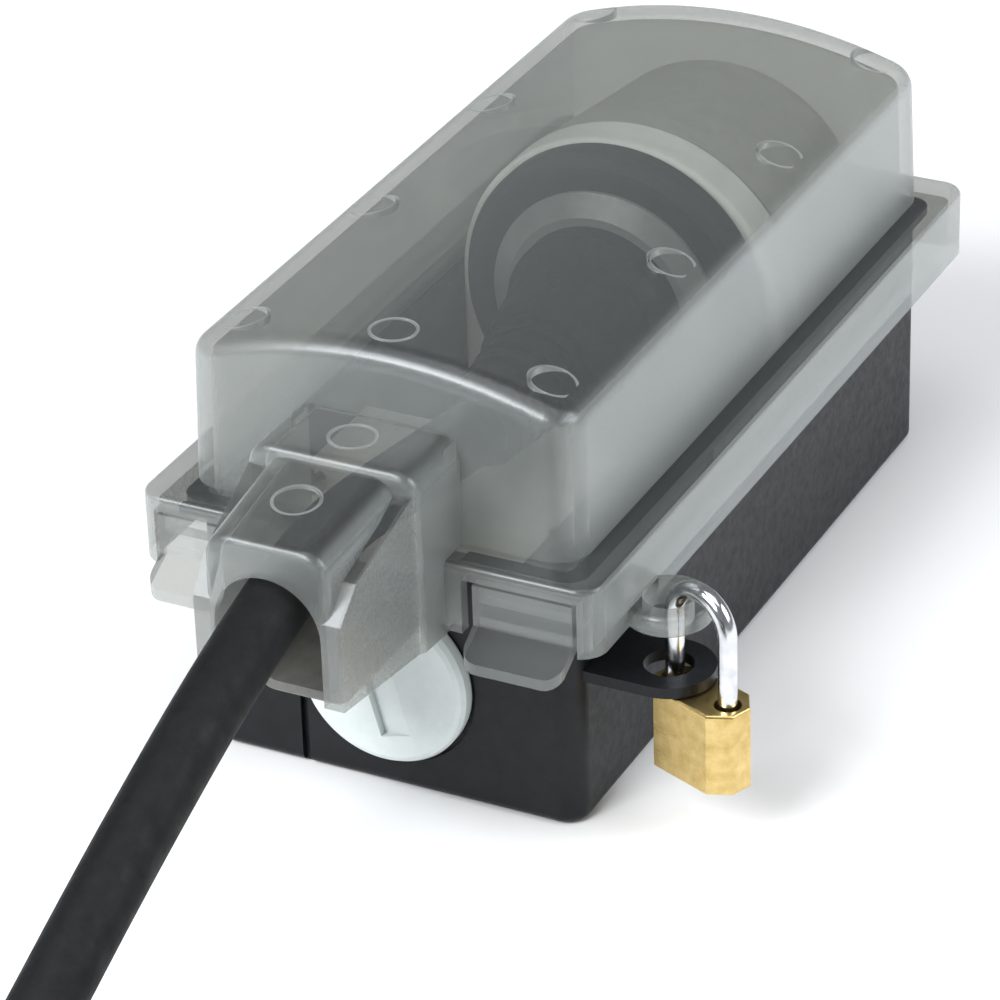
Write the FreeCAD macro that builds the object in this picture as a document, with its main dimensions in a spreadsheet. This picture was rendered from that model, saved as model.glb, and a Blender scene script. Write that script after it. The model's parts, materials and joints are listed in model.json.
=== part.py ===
"""Lockable caravan surge protector box with its plug, cord and padlock.

Frame: origin at the centre of the base's bottom, +Y to the hinge, +Z up, millimetres.
The plug lies along Y and faces the socket at the back of the box. Its cord leaves by the
spout at the front, and a brass padlock joins the lid's eye to the base's eye on the right.
"""
import FreeCAD, Part
import math
import os
import Sketcher

Vector = FreeCAD.Vector
Rotation = FreeCAD.Rotation
Placement = FreeCAD.Placement

doc = FreeCAD.newDocument("SurgeBox")

# Every driving dimension, in millimetres or degrees: (alias, value)
DRIVING = (
    # base
    ("base_wide", 56), ("base_long", 120), ("base_high", 37.5),
    ("base_wall", 2.2), ("base_floor", 2.5), ("base_corner", 3.5),
    ("foot_round", 1.4), ("eye_along", -51.4), ("eye_out", 37.3),
    ("eye_hole", 3.4), ("base_eye_outer", 6.35), ("base_eye_top", 23.5),
    ("base_eye_thick", 1.6), ("scoop_reach", 34), ("scoop_depth", 6.5),
    ("scoop_along", -35.9), ("wall_hole", 2.15), ("wall_hole_out", 17),
    ("wall_hole_along", 50), ("entry_high", 10.4), ("entry_hole", 6),
    ("cable_hole", 4.6), ("groove_out", 13.07), ("groove_wide", 1.1),
    # hinge
    ("hinge_along", 66.8), ("hinge_high", 34.5), ("pin_radius", 1.5),
    ("knuckle_radius", 3.2), ("knuckle_half", 11.6), ("knuckle_far", 20),
    ("run_fit", 0.06),
    # lid
    ("skirt_half", 33.7), ("skirt_front", -65.9), ("skirt_back", 64.7),
    ("skirt_low", 30.6), ("shelf_high", 40.8), ("shelf_thick", 2),
    ("lid_wall", 1.8), ("lid_corner", 3.6), ("dome_half", 28.7),
    ("dome_front", -60.8), ("dome_back", 59.5), ("dome_lean", 0.7),
    ("roof_high", 66.3), ("roof_radius", 80), ("dome_corner", 4.6),
    ("roof_round", 3.2), ("mark_radius", 3.35), ("mark_out", 22.4),
    ("lid_eye_outer", 6), ("lid_eye_top", 33.8),
    # spout
    ("root_half", 12.3), ("root_high", 56.7), ("step_along", -72.7),
    ("spout_front", -90.6), ("hood_half", 9.8), ("hood_half_front", 8.8),
    ("hood_high", 55.9), ("hood_high_front", 53.6), ("cheek_half", 11.9),
    ("cheek_half_front", 10.5), ("spout_wall", 1.5), ("arch_radius", 7.6),
    ("arch_high", 41.1), ("spout_low", 30), ("spout_low_front", 31.7),
    # latch tabs
    ("tab_near", 16.2), ("tab_far", 30.4), ("slot_near", 14.6), ("slot_far", 31),
    ("tab_top", 38.2), ("lip_front", -70.6), ("lip_low", 27.9),
    # padlock
    ("lock_out", 38.1), ("lock_along", -51.3), ("lock_turn", -22),
    ("lock_wide", 15), ("lock_thick", 8), ("lock_low", 9.4), ("lock_high", 21.6),
    ("leg_space", 9.86), ("leg_radius", 1.3), ("leg_low", 18.6), ("leg_high", 31.5),
    ("leg_hole", 1.85), ("key_radius", 3), ("key_hole", 3.15), ("key_top", 15),
    # surge cartridge and its cap
    ("cap_high", 17.2), ("cap_radius", 12.4), ("cap_front", -62.3), ("cap_back", -59.6),
    ("recess_radius", 13.1), ("recess_floor", -59.3), ("spigot_radius", 8.6),
    ("spigot_end", -54), ("holder_inner", 9.35), ("holder_outer", 10.6),
    ("holder_end", -20), ("cartridge_radius", 8.7), ("grip_turn", 15),
    # inner tray and cord trough
    ("tray_high", 30.8), ("tray_low", 16.8), ("tray_thick", 1.6), ("tray_half", 25.4),
    ("tray_step", -16.2), ("tray_end", 13.8), ("trough_half", 6.9), ("trough_low", 26.5),
    ("trough_top", 34), ("trough_front", -82.4), ("trough_wall", 1.4),
    # socket
    ("plug_high", 40.2), ("frame_front", 14.2), ("frame_back", 21.3),
    ("frame_radius", 25.3), ("frame_high", 38.1), ("well_radius", 19.55),
    ("well_outer", 20.4), ("well_floor", 31.7), ("block_radius", 17.5),
    ("block_end", 51.5), ("pin_space", 9.5), ("sleeve_outer", 3.6),
    # plug
    ("flange_radius", 22.8), ("flange_back", 13.9), ("flange_front", 9.4),
    ("neck_radius", 13), ("face_radius", 18.6), ("face_end", 31.4),
    ("plug_pin", 2.4), ("pin_end", 50.4), ("grip_end", -13), ("boot_end", -32),
    # board
    ("board_half", 18), ("board_front", -20), ("board_back", 38), ("board_low", 5),
    ("board_thick", 1.6),
    # cord
    ("cord_diameter", 9), ("coil_middle", 45.5), ("coil_out", 51), ("coil_along", -209.5),
    ("top_turn", 21.3), ("coupling_start", 27), ("coupling_high", 48.3), ("coupling_radius", 22.5),
)


class Size:
    """A length that carries both its number and the sheet expression behind it."""

    def __init__(self, number, text):
        self.number = float(number)
        self.text = text

    def __add__(self, other):
        other = as_size(other)
        return Size(self.number + other.number, "(%s + %s)" % (self.text, other.text))

    def __sub__(self, other):
        other = as_size(other)
        return Size(self.number - other.number, "(%s - %s)" % (self.text, other.text))

    def __mul__(self, other):
        other = as_size(other)
        return Size(self.number * other.number, "(%s * %s)" % (self.text, other.text))

    def __truediv__(self, other):
        other = as_size(other)
        return Size(self.number / other.number, "(%s / %s)" % (self.text, other.text))

    def __neg__(self):
        return as_size(0) - self

    def __radd__(self, other):
        return as_size(other) + self

    def __rsub__(self, other):
        return as_size(other) - self

    def __rmul__(self, other):
        return as_size(other) * self


def as_size(value):
    """A plain number becomes a Size; a Size stays as it is."""
    if isinstance(value, Size):
        return value
    return Size(value, "%.4f" % value)


class Sheet:
    """The document's spreadsheet, whose aliases read as attributes."""

    def __init__(self, rows):
        self.cells = doc.addObject("Spreadsheet::Sheet", "Sizes")
        self.known = {}
        for row, (alias, value) in enumerate(rows, start=1):
            self.cells.set("A%d" % row, alias)
            self.cells.set("B%d" % row, str(value))
            self.cells.setAlias("B%d" % row, alias)
            self.known[alias] = Size(value, "Sizes." + alias)

    def __getattr__(self, alias):
        return self.known[alias]


s = Sheet(DRIVING)
doc.recompute()

nodes = []          # (node name, object), in the order they are made


def node(name, item):
    """Label a finished sub-part and keep it for export."""
    item.Label = name
    nodes.append((name, item))
    return item


# ---- small building blocks --------------------------------------------------

TURN = {
    "x": Rotation(Vector(0, 1, 0), 90),
    "y": Rotation(Vector(1, 0, 0), -90),
    "z": Rotation(),
}
CROSS = {"x": "yz", "y": "xz", "z": "xy"}


def bind(item, prop, value):
    """Bind one property to the sheet."""
    item.setExpression(prop, as_size(value).text)


def block(x, y, z):
    """A box between two values on each axis."""
    box = doc.addObject("Part::Box", "Block")
    for prop, axis, (low, high) in (("Length", "x", x), ("Width", "y", y), ("Height", "z", z)):
        bind(box, prop, as_size(high) - low)
        bind(box, "Placement.Base." + axis, low)
    return box


def place_along(item, axis, centre, low):
    """Turn a round primitive to its axis and put its start there."""
    item.Placement = Placement(Vector(), TURN[axis])
    bind(item, "Placement.Base." + axis, low)
    for letter, value in zip(CROSS[axis], centre):
        bind(item, "Placement.Base." + letter, value)
    return item


def rod(axis, radius, centre, span):
    """A cylinder along an axis; centre holds its two other coordinates."""
    bar = doc.addObject("Part::Cylinder", "Rod")
    bind(bar, "Radius", radius)
    bind(bar, "Height", as_size(span[1]) - span[0])
    return place_along(bar, axis, centre, span[0])


def cone(axis, radii, centre, span):
    """A cone frustum along an axis."""
    bar = doc.addObject("Part::Cone", "Cone")
    bind(bar, "Radius1", radii[0])
    bind(bar, "Radius2", radii[1])
    bind(bar, "Height", as_size(span[1]) - span[0])
    return place_along(bar, axis, centre, span[0])


def ring(axis, radius, thick, centre, along):
    """A torus around an axis."""
    loop = doc.addObject("Part::Torus", "Ring")
    bind(loop, "Radius1", radius)
    bind(loop, "Radius2", thick)
    return place_along(loop, axis, centre, along)


def fuse(*items):
    """One solid, or one group of separate solids, from several."""
    joined = doc.addObject("Part::MultiFuse", "Fuse")
    joined.Shapes = list(items)
    joined.Refine = True
    return joined


def cut(base, *tools):
    """The base less every tool."""
    taken = doc.addObject("Part::Cut", "Cut")
    taken.Base = base
    taken.Tool = tools[0] if len(tools) == 1 else fuse(*tools)
    taken.Refine = True
    return taken


def common(base, tool):
    """What two solids share."""
    shared = doc.addObject("Part::Common", "Common")
    shared.Base = base
    shared.Tool = tool
    return shared


def rounded(base, radius, wanted):
    """Round the edges that the test picks."""
    doc.recompute()
    edges = base.Shape.Edges
    picked = [(i, radius, radius) for i, edge in enumerate(edges, start=1) if wanted(edge)]
    if not picked:
        raise ValueError("no edge to round on " + base.Name)
    soft = doc.addObject("Part::Fillet", "Fillet")
    soft.Base = base
    soft.Edges = picked
    return soft


def runs_along(edge, axis):
    """True for a straight edge parallel to an axis."""
    start, end = edge.Vertexes[0].Point, edge.Vertexes[-1].Point
    line = end - start
    return line.Length > 1e-6 and abs(abs(line.normalize().dot(axis)) - 1) < 1e-3


def upright(edge):
    """True for an edge that runs mostly along Z."""
    start, end = edge.Vertexes[0].Point, edge.Vertexes[-1].Point
    line = end - start
    return line.Length > 1e-6 and abs(line.normalize().z) > 0.98


def at_height(edge, value):
    """True for an edge that lies wholly at one height."""
    return all(abs(v.Point.z - value) < 1e-3 for v in edge.Vertexes)


def mirrored_pair(make):
    """The same solid on both sides of the YZ plane."""
    right = make()
    left = doc.addObject("Part::Mirroring", "Mirror")
    left.Source = right
    left.Normal = Vector(1, 0, 0)
    return fuse(right, left)


# ---- sketched bodies --------------------------------------------------------

def origin_plane(body, role):
    """One of a body's own origin planes."""
    return [item for item in body.Origin.OriginFeatures if item.Role == role][0]


def draw_outline(body, role, corners, offset):
    """A closed sketch through corners, each tied to the sheet from the sketch's origin."""
    sketch = body.newObject("Sketcher::SketchObject", "Outline")
    sketch.AttachmentSupport = (origin_plane(body, role), [""])
    sketch.MapMode = "FlatFace"
    bind(sketch, "AttachmentOffset.Base.z", offset)
    corners = [(as_size(a), as_size(b)) for a, b in corners]
    count = len(corners)
    for i, (a, b) in enumerate(corners):
        c, d = corners[(i + 1) % count]
        start = Vector(a.number, b.number, 0)
        end = Vector(c.number, d.number, 0)
        sketch.addGeometry(Part.LineSegment(start, end), False)
    for i in range(count):
        sketch.addConstraint(Sketcher.Constraint("Coincident", i, 2, (i + 1) % count, 1))
    for i, corner in enumerate(corners):
        for kind, value in zip(("DistanceX", "DistanceY"), corner):
            tie = sketch.addConstraint(Sketcher.Constraint(kind, -1, 1, i, 1, value.number))
            sketch.setExpression("Constraints[%d]" % tie, value.text)
    return sketch


def padded(role, corners, low, high):
    """A body made by padding an outline between two values along the plane's axis."""
    body = doc.addObject("PartDesign::Body", "Padded")
    low, high = as_size(low), as_size(high)
    offset = -high if role == "XZ_Plane" else low     # that plane's normal points to -Y
    sketch = draw_outline(body, role, corners, offset)
    pad = body.newObject("PartDesign::Pad", "Pad")
    pad.Profile = sketch
    bind(pad, "Length", high - low)
    return body


def turned(corners, centre, start=0, angle=0):
    """A body turned on a lathe: corners are (distance along, radius) about its own Y axis."""
    body = doc.addObject("PartDesign::Body", "Turned")
    sketch = draw_outline(body, "YZ_Plane", corners, 0)
    spin = body.newObject("PartDesign::Revolution", "Revolution")
    spin.Profile = sketch
    spin.ReferenceAxis = (sketch, ["H_Axis"])
    spin.Angle = 360
    body.Placement = Placement(Vector(), Rotation(Vector(0, 0, 1), angle))
    bind(body, "Placement.Base.x", centre[0])
    bind(body, "Placement.Base.y", start)
    bind(body, "Placement.Base.z", centre[1])
    return body


def tapered(near, far, along):
    """A box whose section shrinks towards -Y: near and far are (half width, low, high)."""
    wedge = doc.addObject("Part::Wedge", "Wedge")
    wedge.Placement = Placement(Vector(), Rotation(Vector(0, 0, 1), 180))
    bind(wedge, "Ymin", -as_size(along[0]))
    bind(wedge, "Ymax", -as_size(along[1]))
    for mark, (half, low, high) in (("", near), ("2", far)):
        bind(wedge, "X%smin" % mark, -as_size(half))
        bind(wedge, "X%smax" % mark, half)
        bind(wedge, "Z%smin" % mark, low)
        bind(wedge, "Z%smax" % mark, high)
    return wedge


# ---- base -------------------------------------------------------------------

def base_housing():
    """The black tray: walls, floor, padlock scoop and eye, hinge knuckle, posts and holes."""
    half_wide, half_long = s.base_wide / 2, s.base_long / 2
    shell = block((-half_wide, half_wide), (-half_long, half_long), (0, s.base_high))
    shell = rounded(shell, s.base_corner.number, upright)
    shell = rounded(shell, s.foot_round.number, lambda edge: at_height(edge, 0))
    inner_x, inner_y = half_wide - s.base_wall, half_long - s.base_wall
    room = block((-inner_x, inner_x), (-inner_y, inner_y), (s.base_floor, s.base_high + 1))
    shell = cut(shell, rounded(room, 1.6, upright))

    scoop_back = block((half_wide - 8.7, inner_x + 1), (-inner_y - 1, -13.7),
                       (s.base_eye_top - 2.2, s.base_high))
    eye_low = s.base_eye_top - s.base_eye_thick
    eye = rod("z", s.base_eye_outer, (s.eye_out, s.eye_along), (eye_low, s.base_eye_top))
    eye_root = block((half_wide - 2, s.eye_out),
                     (s.eye_along - s.base_eye_outer, s.eye_along + s.base_eye_outer),
                     (eye_low, s.base_eye_top))
    knuckle = rod("x", s.knuckle_radius, (s.hinge_along, s.hinge_high),
                  (-s.knuckle_half, s.knuckle_half))
    arm = block((-s.knuckle_half, s.knuckle_half), (half_long - 1, s.hinge_along),
                (s.hinge_high - s.knuckle_radius, s.base_high - 0.4))
    posts = [rod("z", 2.6, spot, (s.base_floor - 1, top)) for spot, top in tray_posts()]
    posts += [rod("z", 2.4, spot, (s.base_floor - 1, s.board_low)) for spot in board_posts()]
    strike = block((s.tab_near, s.tab_far), (-half_long - 0.3, -half_long + 1), (35.4, 36.6))
    strike_left = block((-s.tab_far, -s.tab_near), (-half_long - 0.3, -half_long + 1),
                        (35.4, 36.6))
    shell = fuse(shell, scoop_back, eye, eye_root, knuckle, arm, strike, strike_left, *posts)

    scoop = rod("z", s.scoop_reach, (half_wide + s.scoop_reach - s.scoop_depth, s.scoop_along),
                (s.base_eye_top, s.base_high + 1))
    eye_bore = rod("z", s.eye_hole, (s.eye_out, s.eye_along), (eye_low - 1, s.base_eye_top + 1))
    pin_bore = rod("x", s.pin_radius, (s.hinge_along, s.hinge_high),
                   (-s.knuckle_half - 1, s.knuckle_half + 1))
    cap_bore = rod("y", s.holder_inner, (0, s.cap_high), (-half_long - 1, -inner_y + 1))
    cap_recess = rod("y", s.recess_radius, (0, s.cap_high), (-half_long - 1, s.recess_floor))
    notch = block((-s.trough_half - 0.05, s.trough_half + 0.05), (-half_long - 1, -inner_y + 1),
                  (s.trough_low, s.base_high + 1))
    groove = block((-s.groove_out - s.groove_wide / 2, -s.groove_out + s.groove_wide / 2),
                   (-half_long - 1, -half_long + 0.9), (-1, s.trough_low + 1.5))
    entry = rod("y", s.entry_hole, (0, s.entry_high), (inner_y - 1, half_long + 1))
    holes = [rod("z", s.wall_hole, spot, (-1, s.base_floor + 1)) for spot in wall_holes()]
    pilots = [rod("z", 1.2, spot, (top - 8, top + 1)) for spot, top in tray_posts()]
    pilots += [rod("z", 0.9, spot, (s.base_floor + 0.4, s.board_low + 1))
               for spot in board_posts()]
    return node("base_housing", cut(shell, scoop, eye_bore, pin_bore, cap_bore, cap_recess,
                                    notch, groove, entry, *(holes + pilots)))


def wall_holes():
    """Centres of the four screws that hold the box to a wall."""
    return [(s.wall_hole_out * i, s.wall_hole_along * j) for i in (-1, 1) for j in (-1, 1)]


def tray_posts():
    """Centres of the tray's screw posts, and the height of each."""
    upper, lower = s.tray_high - s.tray_thick, s.tray_low - s.tray_thick
    return [((-21.8, -40), upper), ((16.8, -40), upper), ((-21.8, 8), lower), ((21.8, 8), lower)]


def board_posts():
    """Centres of the circuit board's screw posts."""
    return [(i * 15, j) for i in (-1, 1) for j in (-16, 34)]


def inner_tray():
    """The stepped cover between the plug's room and the live parts below it."""
    high, low, thick = s.tray_high, s.tray_low, s.tray_thick
    step, end = s.tray_step, s.tray_end
    corners = [(-56, high - thick), (-56, high), (step, high), (step, low), (end, low),
               (end, low - thick), (step - thick, low - thick), (step - thick, high - thick)]
    sheet = padded("YZ_Plane", corners, -s.tray_half, s.tray_half)
    scoop_gap = block((s.base_wide / 2 - 9, s.tray_half + 1), (-57, -13.3),
                      (s.base_eye_top - 2.6, high + 1))
    screw_ways = [rod("z", 1.4, spot, (top - 1, top + 3)) for spot, top in tray_posts()]
    node("inner_tray", cut(sheet, scoop_gap, *screw_ways))

    def screw(spot, seat):
        head = rod("z", 2.3, spot, (seat, seat + 1.5))
        shank = rod("z", 1.15, spot, (seat - 8, seat + 0.1))
        slot = block((spot[0] - 0.35, spot[0] + 0.35), (spot[1] - 3, spot[1] + 3),
                     (seat + 0.9, seat + 2))
        return cut(fuse(head, shank), slot)
    node("tray_screws", fuse(*[screw(spot, top + thick) for spot, top in tray_posts()]))


def cord_trough():
    """The grey cradle that carries the cord out under the spout."""
    half, wall = s.trough_half, s.trough_wall
    inner_y = -s.base_long / 2 + s.base_wall
    outside = block((-half, half), (s.trough_front, inner_y), (s.trough_low, s.trough_top))
    front = s.trough_front.number
    outside = rounded(outside, 2.6, lambda edge: runs_along(edge, Vector(0, 1, 0))
                      and at_height(edge, s.trough_low.number))
    outside = rounded(outside, 0.6, lambda edge: all(
        abs(v.Point.y - front) < 1e-3 for v in edge.Vertexes))
    hook = block((-half - 2, half + 2), (inner_y, inner_y + 1.5), (30, 36))
    sill = s.cap_front - 1.7
    room = block((-half + wall, half - wall), (s.trough_front - 1, sill),
                 (s.trough_low + 1.7, 40))
    room = rounded(room, 1.6, lambda edge: runs_along(edge, Vector(0, 1, 0))
                   and edge.BoundBox.ZMax < 30)
    over_cap = block((-half + wall, half - wall), (sill - 1, inner_y + 3),
                     (s.cap_high + s.cap_radius + 2, 40))
    cap_way = rod("y", s.cap_radius + 0.5, (0, s.cap_high), (s.cap_front - 0.4, inner_y))
    node("cord_trough", cut(fuse(outside, hook), room, over_cap, cap_way))


def supply_grommet():
    """The rubber bush where the supply cable enters the back wall."""
    half_long, wall = s.base_long / 2, s.base_wall
    node("supply_grommet", turned(
        [(half_long - wall - 1.5, s.cable_hole), (half_long - wall - 1.5, s.entry_hole + 1.4),
         (half_long - wall, s.entry_hole + 1.4), (half_long - wall, s.entry_hole),
         (half_long, s.entry_hole), (half_long, s.entry_hole + 1.4),
         (half_long + 1.8, s.entry_hole + 0.6), (half_long + 1.8, s.cable_hole)],
        (0, s.entry_high)))


# ---- surge protection -------------------------------------------------------

def surge_board():
    """The board below the tray with its protective parts and screws."""
    low = s.board_low
    high = low + s.board_thick
    board = block((-s.board_half, s.board_half), (s.board_front, s.board_back), (low, high))
    ways = [rod("z", 1.1, spot, (low - 1, high + 1)) for spot in board_posts()]
    node("surge_board", cut(board, *ways))
    node("varistors", fuse(*[
        rod("x", 5.5, (27, high + 5.6), (x - 2, x + 2)) for x in (-10, 0, 10)]))
    node("gas_discharge_tube", fuse(rod("x", 3.7, (3, high + 4), (-3, 3)),
                                    rod("x", 4, (3, high + 4), (-3.6, -2.2)),
                                    rod("x", 4, (3, high + 4), (2.2, 3.6))))
    node("thermal_fuses", fuse(*[rod("y", 1.9, (x, high + 2), (-2, 8)) for x in (-10, 10)]))
    capacitor = block((-6.5, 6.5), (-12, -6), (high, high + 8))
    node("emi_capacitor", rounded(capacitor, 0.7, upright))

    def screw(spot):
        return fuse(rod("z", 2.1, spot, (high, high + 1.4)), rod("z", 0.88, spot, (3.2, high)))
    node("board_screws", fuse(*[screw(spot) for spot in board_posts()]))
    node("cartridge_clips", fuse(*[
        block((min(x, x + w), max(x, x + w)), (-19.6, -18.4), (high, 19.6))
        for x, w in ((3.75, 0.6), (-3.75, -0.6))]))


def terminal_block():
    """The three-way terminal at the supply entry, and its screws."""
    body = block((-13, 13), (43, 55.5), (s.base_floor, 15.5))
    body = rounded(body, 0.6, lambda edge: at_height(edge, 15.5))
    ways = (-8, 0, 8)
    tops = [rod("z", 2.3, (x, 47.5), (9, 16)) for x in ways]
    wires = [rod("y", 1.8, (x, 7), (50, 56)) for x in ways]
    node("terminal_block", cut(body, *(tops + wires)))

    def screw(x):
        return cut(rod("z", 2.2, (x, 47.5), (9, 14.2)),
                   block((x - 0.35, x + 0.35), (44, 51), (13.2, 15)))
    node("terminal_screws", fuse(*[screw(x) for x in ways]))


def cartridge():
    """The holder tube, the arrester in it, and the white bayonet cap in the front wall."""
    centre = (0, s.cap_high)
    inner_y = -s.base_long / 2 + s.base_wall
    holder = turned([(inner_y, s.holder_inner), (inner_y, s.holder_outer + 1.8),
                     (inner_y + 1.5, s.holder_outer + 1.8), (inner_y + 1.5, s.holder_outer),
                     (s.holder_end, s.holder_outer), (s.holder_end, 0),
                     (s.holder_end - 1.5, 0), (s.holder_end - 1.5, s.holder_inner)], centre)
    slots = [block((x, x + 1), (s.holder_end - 3, s.holder_end + 1), (14.8, 19.6))
             for x in (-3.9, 2.9)]
    node("cartridge_holder", cut(holder, *slots))

    radius, front, back = s.cartridge_radius, s.spigot_end + 0.6, s.holder_end - 2
    node("arrester_cartridge", turned([(front, 0), (front, radius - 0.8),
                                       (front + 0.8, radius), (back - 0.8, radius),
                                       (back, radius - 0.8), (back, 0)], centre))
    node("cartridge_contacts", fuse(*[
        block((x, x + 0.6), (back, s.holder_end + 1.8), (15.2, 19.2)) for x in (-3.7, 3.1)]))

    groove = s.spigot_radius - 0.4
    cap = turned([(s.cap_front, 0), (s.cap_front, s.cap_radius - 1.1),
                  (s.cap_front + 0.3, s.cap_radius - 0.45),
                  (s.cap_front + 1, s.cap_radius), (s.cap_back, s.cap_radius),
                  (s.cap_back, s.spigot_radius), (-57.6, s.spigot_radius), (-57.6, groove),
                  (-56.3, groove), (-56.3, s.spigot_radius), (s.spigot_end, s.spigot_radius),
                  (s.spigot_end, 0)], centre)
    # A wedge-shaped finger grip: deep at its left edge, flush at its right one
    grip = padded("XY_Plane", [(-2.3, -3), (-2.3, 1.3), (2.3, 0), (2.3, -3)], -8, 8)
    grip.Placement = Placement(Vector(), Rotation(Vector(0, 1, 0), -s.grip_turn.number))
    bind(grip, "Placement.Base.y", s.cap_front)
    bind(grip, "Placement.Base.z", s.cap_high)
    node("twist_cap", cut(cap, grip))
    node("cap_o_ring", ring("y", s.spigot_radius + 0.15, 0.5, centre, -56.95))


# ---- socket -----------------------------------------------------------------

def socket():
    """The earthed socket on its arched frame, with the cover behind it."""
    centre = (0, s.plug_high)
    front, back = s.frame_front, s.frame_back
    arch = rod("y", s.frame_radius, (0, s.frame_high), (front, back))
    lower = block((-s.frame_radius, s.frame_radius), (front, back), (7.2, s.frame_high))
    opening = rod("y", s.well_outer + 0.1, centre, (front - 1, back + 1))
    frame = rounded(fuse(arch, lower), 0.9, lambda edge: edge.BoundBox.ZMin > 30)
    node("socket_frame", cut(frame, opening))

    end = s.block_end + 1.5
    cover = cone("y", (25.2, 22), (0, s.frame_high), (back + 0.1, end))
    cover = rounded(cover, 2, lambda edge: edge.BoundBox.YMin > end.number - 0.1)
    hollow = cone("y", (24.1, 21), (0, s.frame_high), (back, end - 1.2))
    below = block((-30, 30), (back - 1, end + 1), (0, 24))
    node("socket_housing", cut(cover, hollow, below))

    collar = s.well_outer + 1.2
    insert = turned([(front, s.well_radius), (front, s.well_outer), (back + 0.1, s.well_outer),
                     (back + 0.1, collar), (back + 1.6, collar), (back + 1.6, s.well_outer),
                     (s.well_floor + 1.5, s.well_outer), (s.well_floor + 1.5, s.block_radius),
                     (s.block_end, s.block_radius), (s.block_end, 0), (s.well_floor, 0),
                     (s.well_floor, s.well_radius)], centre)
    ways = [rod("y", s.sleeve_outer + 0.05, (s.pin_space * i, s.plug_high),
                (s.well_floor - 1, s.block_end + 1)) for i in (-1, 1)]
    clip_ways = block((-3.2, 3.2), (s.well_floor - 1, s.well_floor + 2.5),
                      (s.plug_high - 19.5, s.plug_high + 19.5))
    clip_keep = block((-4, 4), (s.well_floor - 2, s.well_floor + 3),
                      (s.plug_high - 18.6, s.plug_high + 18.6))
    node("socket_insert", cut(insert, cut(clip_ways, clip_keep), *ways))

    def sleeve(i):
        spot = (s.pin_space * i, s.plug_high)
        return cut(rod("y", s.sleeve_outer, spot, (s.well_floor + 0.3, s.block_end)),
                   rod("y", s.plug_pin + 0.05, spot, (s.well_floor, s.block_end - 0.9)))
    node("socket_contacts", fuse(sleeve(-1), sleeve(1)))

    def clip(low, high):
        return block((-2.8, 2.8), (front + 1.8, s.well_floor + 6),
                     (s.plug_high + low, s.plug_high + high))
    node("earth_clips", fuse(clip(18.7, 19.3), clip(-19.3, -18.7)))


# ---- plug -------------------------------------------------------------------

def plug():
    """The straight rubber plug: body, light ring, face, pins, earth strips and boot."""
    centre = (0, s.plug_high)
    front, back = s.flange_front, s.flange_back
    node("plug_body", turned([(back, 0), (back, s.flange_radius),
                              (front + 1.9, s.flange_radius), (front + 0.6, s.flange_radius - 0.6),
                              (front, s.flange_radius - 1.9), (front, s.neck_radius),
                              (front - 5.4, s.neck_radius), (front - 9, s.neck_radius - 1.6),
                              (s.grip_end + 6, 10), (s.grip_end, 8.8), (s.grip_end, 0)], centre))
    node("plug_ring", turned([(front, s.neck_radius + 0.05), (front, 17.4), (front - 0.6, 17.4),
                              (front - 2.6, s.neck_radius + 1.3),
                              (front - 2.6, s.neck_radius + 0.05)], centre))
    face = rod("y", s.face_radius, centre, (back, s.face_end))
    face = rounded(face, 0.8, lambda edge: edge.BoundBox.YMin > s.face_end.number - 0.1)
    notches = [block((-3.6, 3.6), (back - 1, s.face_end + 1),
                     (s.plug_high + low, s.plug_high + high))
               for low, high in ((17, 20), (-20, -17))]
    root = s.face_end - 5
    pin_ways = [rod("y", s.plug_pin, (s.pin_space * i, s.plug_high), (root, s.face_end + 1))
                for i in (-1, 1)]
    node("plug_face", cut(face, *(notches + pin_ways)))

    def pin(i):
        bar = rod("y", s.plug_pin, (s.pin_space * i, s.plug_high), (root, s.pin_end))
        return rounded(bar, 1.2, lambda edge: edge.BoundBox.YMin > s.pin_end.number - 0.1)
    node("plug_pins", fuse(pin(-1), pin(1)))
    node("plug_earth_strips", fuse(*[
        block((-3, 3), (back + 0.2, s.face_end - 0.6), (s.plug_high + low, s.plug_high + high))
        for low, high in ((17, 17.6), (-17.6, -17))]))
    node("strain_relief", turned(ribbed(s.grip_end, s.boot_end, 7.8, 5.7), centre))


def ribbed(start, end, wide, narrow):
    """A lathe outline of a tapered boot with square ribs from start to end."""
    ribs = 5
    pitch = (end - start) / ribs
    corners = [(start, 0)]
    for i in range(ribs):
        radius = wide + (narrow - wide) * i / ribs
        rise = start + pitch * i
        corners += [(rise, radius), (rise + pitch * 0.6, radius - 0.1),
                    (rise + pitch * 0.6, radius - 1.1), (rise + pitch, radius - 1.15)]
    return corners + [(end, 0)]


# ---- lid --------------------------------------------------------------------

def dome_form(inset, low, corner, edge_round):
    """The lid's dome: leaning walls under an arched roof, shrunk by inset on every side."""
    half, front, back = s.dome_half - inset, s.dome_front + inset, s.dome_back - inset
    lean, top = s.dome_lean, s.roof_high + 1
    form = doc.addObject("Part::Wedge", "Wedge")
    form.Placement = Placement(Vector(), Rotation(Vector(1, 0, 0), 90))
    bind(form, "Ymin", low)
    bind(form, "Ymax", top)
    for prop, value in (("Xmin", -half), ("Xmax", half), ("X2min", lean - half),
                        ("X2max", half - lean), ("Zmin", -back), ("Zmax", -front),
                        ("Z2min", lean - back), ("Z2max", -front - lean)):
        bind(form, prop, value)
    roof = rod("y", s.roof_radius - inset, (0, s.roof_high - s.roof_radius),
               (front - 2, back + 2))
    form = common(form, roof)
    form = rounded(form, corner, upright)
    return rounded(form, edge_round, lambda edge: edge.BoundBox.ZMin > 57)


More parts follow.
